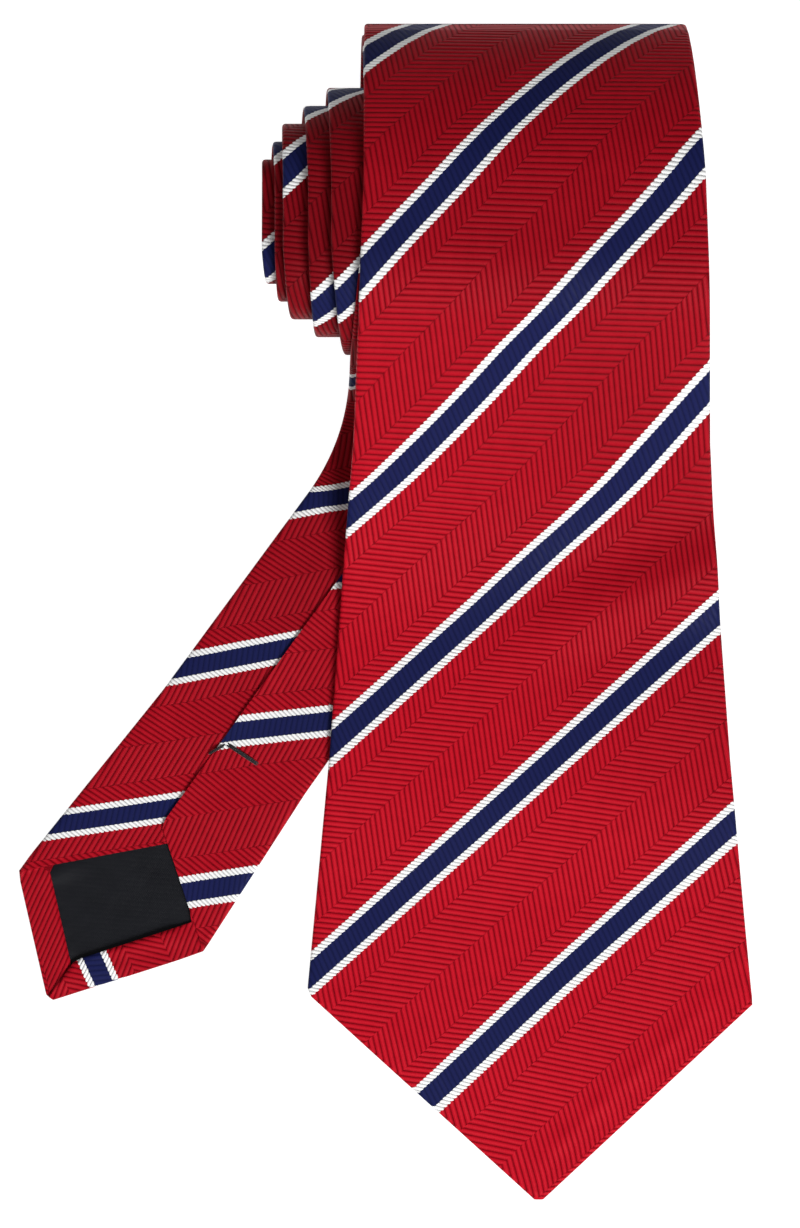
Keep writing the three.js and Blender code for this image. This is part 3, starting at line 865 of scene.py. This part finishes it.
satin_finish = black_satin()
tipping_section = layer_section(tipping_inset, tipping_back, tipping_back + tipping_ply, 24)
tippings = (
    ("wide_tipping_satin", "wide_tipping", tipping_start, wide_tipping_length, "wide_blade"),
    ("narrow_tipping_satin", "narrow_tipping", path.length - narrow_tipping_length,
     path.length - tipping_start, "narrow_tail"),
)
for name, node, start, end, body in tippings:
    satin_piece = layer_piece(name, start, end, tipping_section)
    satin_piece.data.materials.append(satin_finish)
    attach(satin_piece, body)
    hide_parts(node)
    flat, area = cloth_size(start, end, lambda run: sum(outline(run)[:2]) - 2 * tipping_inset)


# ---- Slip stitch ------------------------------------------------------------------
# One long loose red thread up the middle of the back, under the lapped flap, from one
# bar tack to the other. It wanders to and fro, so that the tie can stretch when tied.
thread_radius = 0.13
stitch_length = 8
stitch_sway = 0.12
slip_aside = lap_left + 0.45
slip_depth = (flap_outer + flap_inner) / 2
wide_tack_length = 8


def thread_mesh(name, strands, radius, sides=8):
    """Sewing threads as one mesh of thin tubes, one along each row of points, in metres."""
    body = bmesh.new()
    uv = body.loops.layers.uv.new("Cloth")
    for points in strands:
        points = [Vector(point) for point in points]
        rings = []
        side_way = None
        for i, point in enumerate(points):
            ahead = (points[min(i + 1, len(points) - 1)] - points[max(i - 1, 0)]).normalized()
            if side_way is None:
                side_way = ahead.orthogonal().normalized()
            side_way = (side_way - ahead * side_way.dot(ahead)).normalized()
            up_way = ahead.cross(side_way)
            ring = []
            for k in range(sides):
                turn = 2 * math.pi * k / sides
                around = side_way * math.cos(turn) + up_way * math.sin(turn)
                ring.append(body.verts.new(point + around * radius * MM))
            rings.append(ring)
        gone = 0.0
        for i in range(len(rings) - 1):
            step = (points[i + 1] - points[i]).length / MM
            for k in range(sides):
                j = (k + 1) % sides
                face = body.faces.new((rings[i][k], rings[i][j], rings[i + 1][j], rings[i + 1][k]))
                face.smooth = True
                girth = 2 * math.pi * radius / sides
                places = ((k * girth, gone), ((k + 1) * girth, gone),
                          ((k + 1) * girth, gone + step), (k * girth, gone + step))
                for loop, place in zip(face.loops, places):
                    loop[uv].uv = place
            gone += step
        body.faces.new(rings[0][::-1])
        body.faces.new(rings[-1])
    bmesh.ops.recalc_face_normals(body, faces=body.faces)
    mesh = bpy.data.meshes.new(name)
    body.to_mesh(mesh)
    body.free()
    piece = bpy.data.objects.new(name, mesh)
    bpy.context.scene.collection.objects.link(piece)
    return piece


def twisted_thread(name, dark, light):
    """Sewing thread of two plies twisted together, with a soft sheen on each ply."""
    thread = Finish(name, Roughness=0.55, Sheen_Weight=0.2, Specular_IOR_Level=0.3)
    around, along, vector = thread.cloth()
    plies = thread.rib((around * 1.0 + along * 0.8) / 0.42)
    fluff = thread.noise(vector, 6.0, 2.0)
    thread.feed(thread.shader.inputs["Base Color"], thread.mix(plies * 0.8 + fluff * 0.2, dark, light))
    thread.bump(plies, 0.08 * MM)
    return thread.material


red_thread = twisted_thread("red_sewing_thread", (0.16, 0.003, 0.010), (0.42, 0.016, 0.034))
black_thread = twisted_thread("black_sewing_thread", (0.0015, 0.0015, 0.0025), (0.006, 0.006, 0.009))


def slip_strand(start, end):
    strand = []
    for run in np.arange(start, end, 1.0):
        sway = stitch_sway * math.sin(2 * math.pi * run / stitch_length)
        strand.append(put(run, slip_aside + sway, slip_depth))
    return strand


slip_lengths = (
    ("blade_slip_thread", "blade_slip_stitch", wide_tack_at + wide_tack_length, blade_end, "wide_blade"),
    ("rolled_slip_thread", "rolled_slip_stitch", blade_end, path.narrow_crest, "roll"),
    ("tail_slip_thread", "tail_slip_stitch", path.narrow_crest,
     path.length - narrow_tack_at, "narrow_tail"),
)
for name, node, start, end, body in slip_lengths:
    slip_thread = thread_mesh(name, [slip_strand(start, end - cut_gap)], thread_radius)
    slip_thread.data.materials.append(red_thread)
    if body == "wide_blade":
        blend_over_crest(slip_thread)
    elif body == "narrow_tail":
        blend_over_tail(slip_thread)
    else:
        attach(slip_thread, body)
    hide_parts(node)


# ---- Piecing seams ----------------------------------------------------------------
# Where two panels join: a row of short machine stitches across the tie, inside the
# cloth, through the turned edges of both panels.
piecing_stitch = 2.2
piecing_gap = 0.5


def piecing_row(at):
    left, right = outline(at)[:2]
    strands = []
    start = -left + 2
    while start + piecing_stitch < right - 2:
        places = np.linspace(start, start + piecing_stitch, 4)
        strands.append([put(at, w, tipping_back + tipping_ply / 2) for w in places])
        start += piecing_stitch + piecing_gap
    return strands


for name, node, at in (("wide_piecing_stitches", "wide_piecing_seam", wide_seam),
                       ("narrow_piecing_stitches", "narrow_piecing_seam", narrow_seam)):
    seam = thread_mesh(name, piecing_row(at), 0.06, 6)
    seam.data.materials.append(red_thread)
    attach(seam, "roll")
    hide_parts(node)


# ---- Bar tacks --------------------------------------------------------------------
# A few strong black hand stitches across the lapped flaps, at the foot of the slip
# stitch on each end, which keep the flaps from opening. Their ends dive into the silk.
tack_rise = 0.42
tack_sink = 0.2
tack_aside = 0.19
tack_thread_radius = thread_radius * 1.4


def tack_strand(at, start, end, side):
    """One stitch between two places, each (across, along), arched up off the cloth."""
    points = []
    for share in np.linspace(0, 1, 9):
        w = start[0] + (end[0] - start[0]) * share
        run = at + start[1] + (end[1] - start[1]) * share + side
        rise = tack_sink - (tack_rise + tack_sink) * math.sin(math.pi * share) ** 0.6
        points.append(put(run, w, rise))
    return points


def add_tack(name, node, at, stitches, body):
    strands = [tack_strand(at, start, end, side) for start, end in stitches
               for side in (-tack_aside, tack_aside)]
    tack = thread_mesh(name, strands, tack_thread_radius)
    tack.data.materials.append(black_thread)
    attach(tack, body)
    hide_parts(node)


add_tack("wide_tack_stitches", "wide_bar_tack", wide_tack_at,
         [((-4, 0), (-1.2, 0.2)), ((-1.2, 0.2), (1.4, -0.1)), ((1.4, -0.1), (4, 0))], "wide_blade")
add_tack("narrow_tack_stitches", "narrow_bar_tack", path.length - narrow_tack_at,
         [((-2.5, 1.3), (-1.1, -1.5)), ((-0.9, -2.0), (6.3, -2.3))],
         "narrow_tail")


# ---- Keeper loop ------------------------------------------------------------------
# A narrow band of the same silk, folded and pressed, across the back of the blade. It
# stands a little off the cloth so that the narrow end passes through, and is sewn down
# with a few red stitches at each of its pinched ends.
keeper_at, keeper_span = 152, 44
keeper_width, keeper_end_width, keeper_taper = 10, 4, 8
keeper_ply, keeper_rise, keeper_end_rise = 0.8, 3, 1
keeper_tack_size = 2


def keeper_ring(w):
    from_end = keeper_span / 2 - abs(w)
    grown = smooth(0, keeper_taper, from_end)
    half_width = (keeper_end_width + (keeper_width - keeper_end_width) * grown) / 2
    rise = keeper_end_rise + (keeper_rise - keeper_end_rise) * smooth(0, keeper_span / 2, from_end)
    edge = keeper_ply / 2
    places = []
    for offset in np.linspace(-half_width + edge, half_width - edge, 9):
        dip = 0.08 * math.cos(3 * math.pi * offset / keeper_width)
        places.append((offset, -rise - keeper_ply + dip))
    for angle in np.linspace(0, math.pi, 5)[1:-1]:
        places.append((half_width - edge + edge * math.sin(angle), -rise - edge - edge * math.cos(angle)))
    places += [(offset, -rise) for offset in np.linspace(half_width - edge, -half_width + edge, 9)]
    for angle in np.linspace(0, math.pi, 5)[1:-1]:
        places.append((-half_width + edge - edge * math.sin(angle), -rise - edge + edge * math.cos(angle)))
    middle, across, front = path.at(keeper_at)
    along = np.cross(front, across)
    ring = [Vector((middle + across * w + along * offset + front * (depth - thickness / 2)) * MM)
            for offset, depth in places]
    return ring, [wide_cut(offset * 1.4 + 6, w + 20, 0) for offset, depth in places]


keeper_rings = [keeper_ring(w) for w in np.linspace(-keeper_span / 2, keeper_span / 2, 45)]
keeper_band = loft("keeper_band", [ring for ring, _ in keeper_rings], [cloth for _, cloth in keeper_rings])
keeper_band.data.materials.append(silk_finish)
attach(keeper_band, "keeper")
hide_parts("keeper_loop")

for side, name in ((-1, "left"), (1, "right")):
    strands = []
    for run in np.linspace(-1.6, 1.6, 5):
        start = side * (keeper_span / 2 - keeper_tack_size)
        end = side * (keeper_span / 2 - cut_gap)
        points = []
        for share in np.linspace(0, 1, 7):
            rise = -0.16 - 0.26 * math.sin(math.pi * share)
            points.append(put(keeper_at + run, start + (end - start) * share, rise))
        strands.append(points)
    keeper_stitches = thread_mesh(f"keeper_stitches_{name}", strands, 0.12)
    keeper_stitches.data.materials.append(red_thread)
    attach(keeper_stitches, "wide_blade")
    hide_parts(f"keeper_tack_{name}")


# ---- Care label -------------------------------------------------------------------
# A small woven slip with folded ends, left blank, laid on the back of the blade below
# the keeper and sewn down along its two sides.
label_from, label_length, label_width, label_ply = 118, 22, 26, 0.25
label_gap = 0.1


def woven_label():
    """White ribbon in a close plain weave, with a woven grey border near each side."""
    ribbon = Finish("woven_label", Roughness=0.7, Sheen_Weight=0.1, Specular_IOR_Level=0.25)
    across, along, vector = ribbon.cloth()
    weave = ribbon.rib(across / 0.4) * ribbon.rib(along / 0.4)
    from_side = label_width / 2 - ribbon.math("ABSOLUTE", across)
    border = ribbon.step(from_side, 2.0, 0.1) * (1 - ribbon.step(from_side, 2.6, 0.1))
    cloth_tone = ribbon.mix(weave, (0.62, 0.61, 0.57), (0.86, 0.85, 0.81))
    ribbon.feed(ribbon.shader.inputs["Base Color"], ribbon.mix(border, cloth_tone, (0.30, 0.31, 0.34)))
    ribbon.bump(weave + ribbon.noise(vector, 0.6, 2.0) * 0.5, 0.06 * MM)
    return ribbon.material


def label_section(run):
    back, front = -label_gap - label_ply, -label_gap
    half = label_width / 2
    from_end = min(run - label_from, label_from + label_length - run)
    fold = 0.12 * (1 - smooth(1.5, 2.5, from_end))
    rows = [(w, front) for w in np.linspace(-half, half, 14)]
    return rows + [(w, back - fold) for w in np.linspace(half, -half, 14)]


care_slip = layer_piece("care_slip", label_from, label_from + label_length, label_section)
care_slip.data.materials.append(woven_label())
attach(care_slip, "wide_blade")
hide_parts("care_label")

label_strands = []
for side in (-1, 1):
    for start in np.arange(label_from + 1, label_from + label_length - 2, 2.4):
        points = []
        for share in np.linspace(0, 1, 5):
            rise = -label_gap - label_ply - 0.04 - 0.14 * math.sin(math.pi * share)
            points.append(put(start + 1.8 * share, side * (label_width / 2 - 0.9), rise))
        label_strands.append(points)
label_stitches = thread_mesh("label_stitches", label_strands, 0.08, 6)
label_stitches.data.materials.append(red_thread)
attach(label_stitches, "wide_blade")
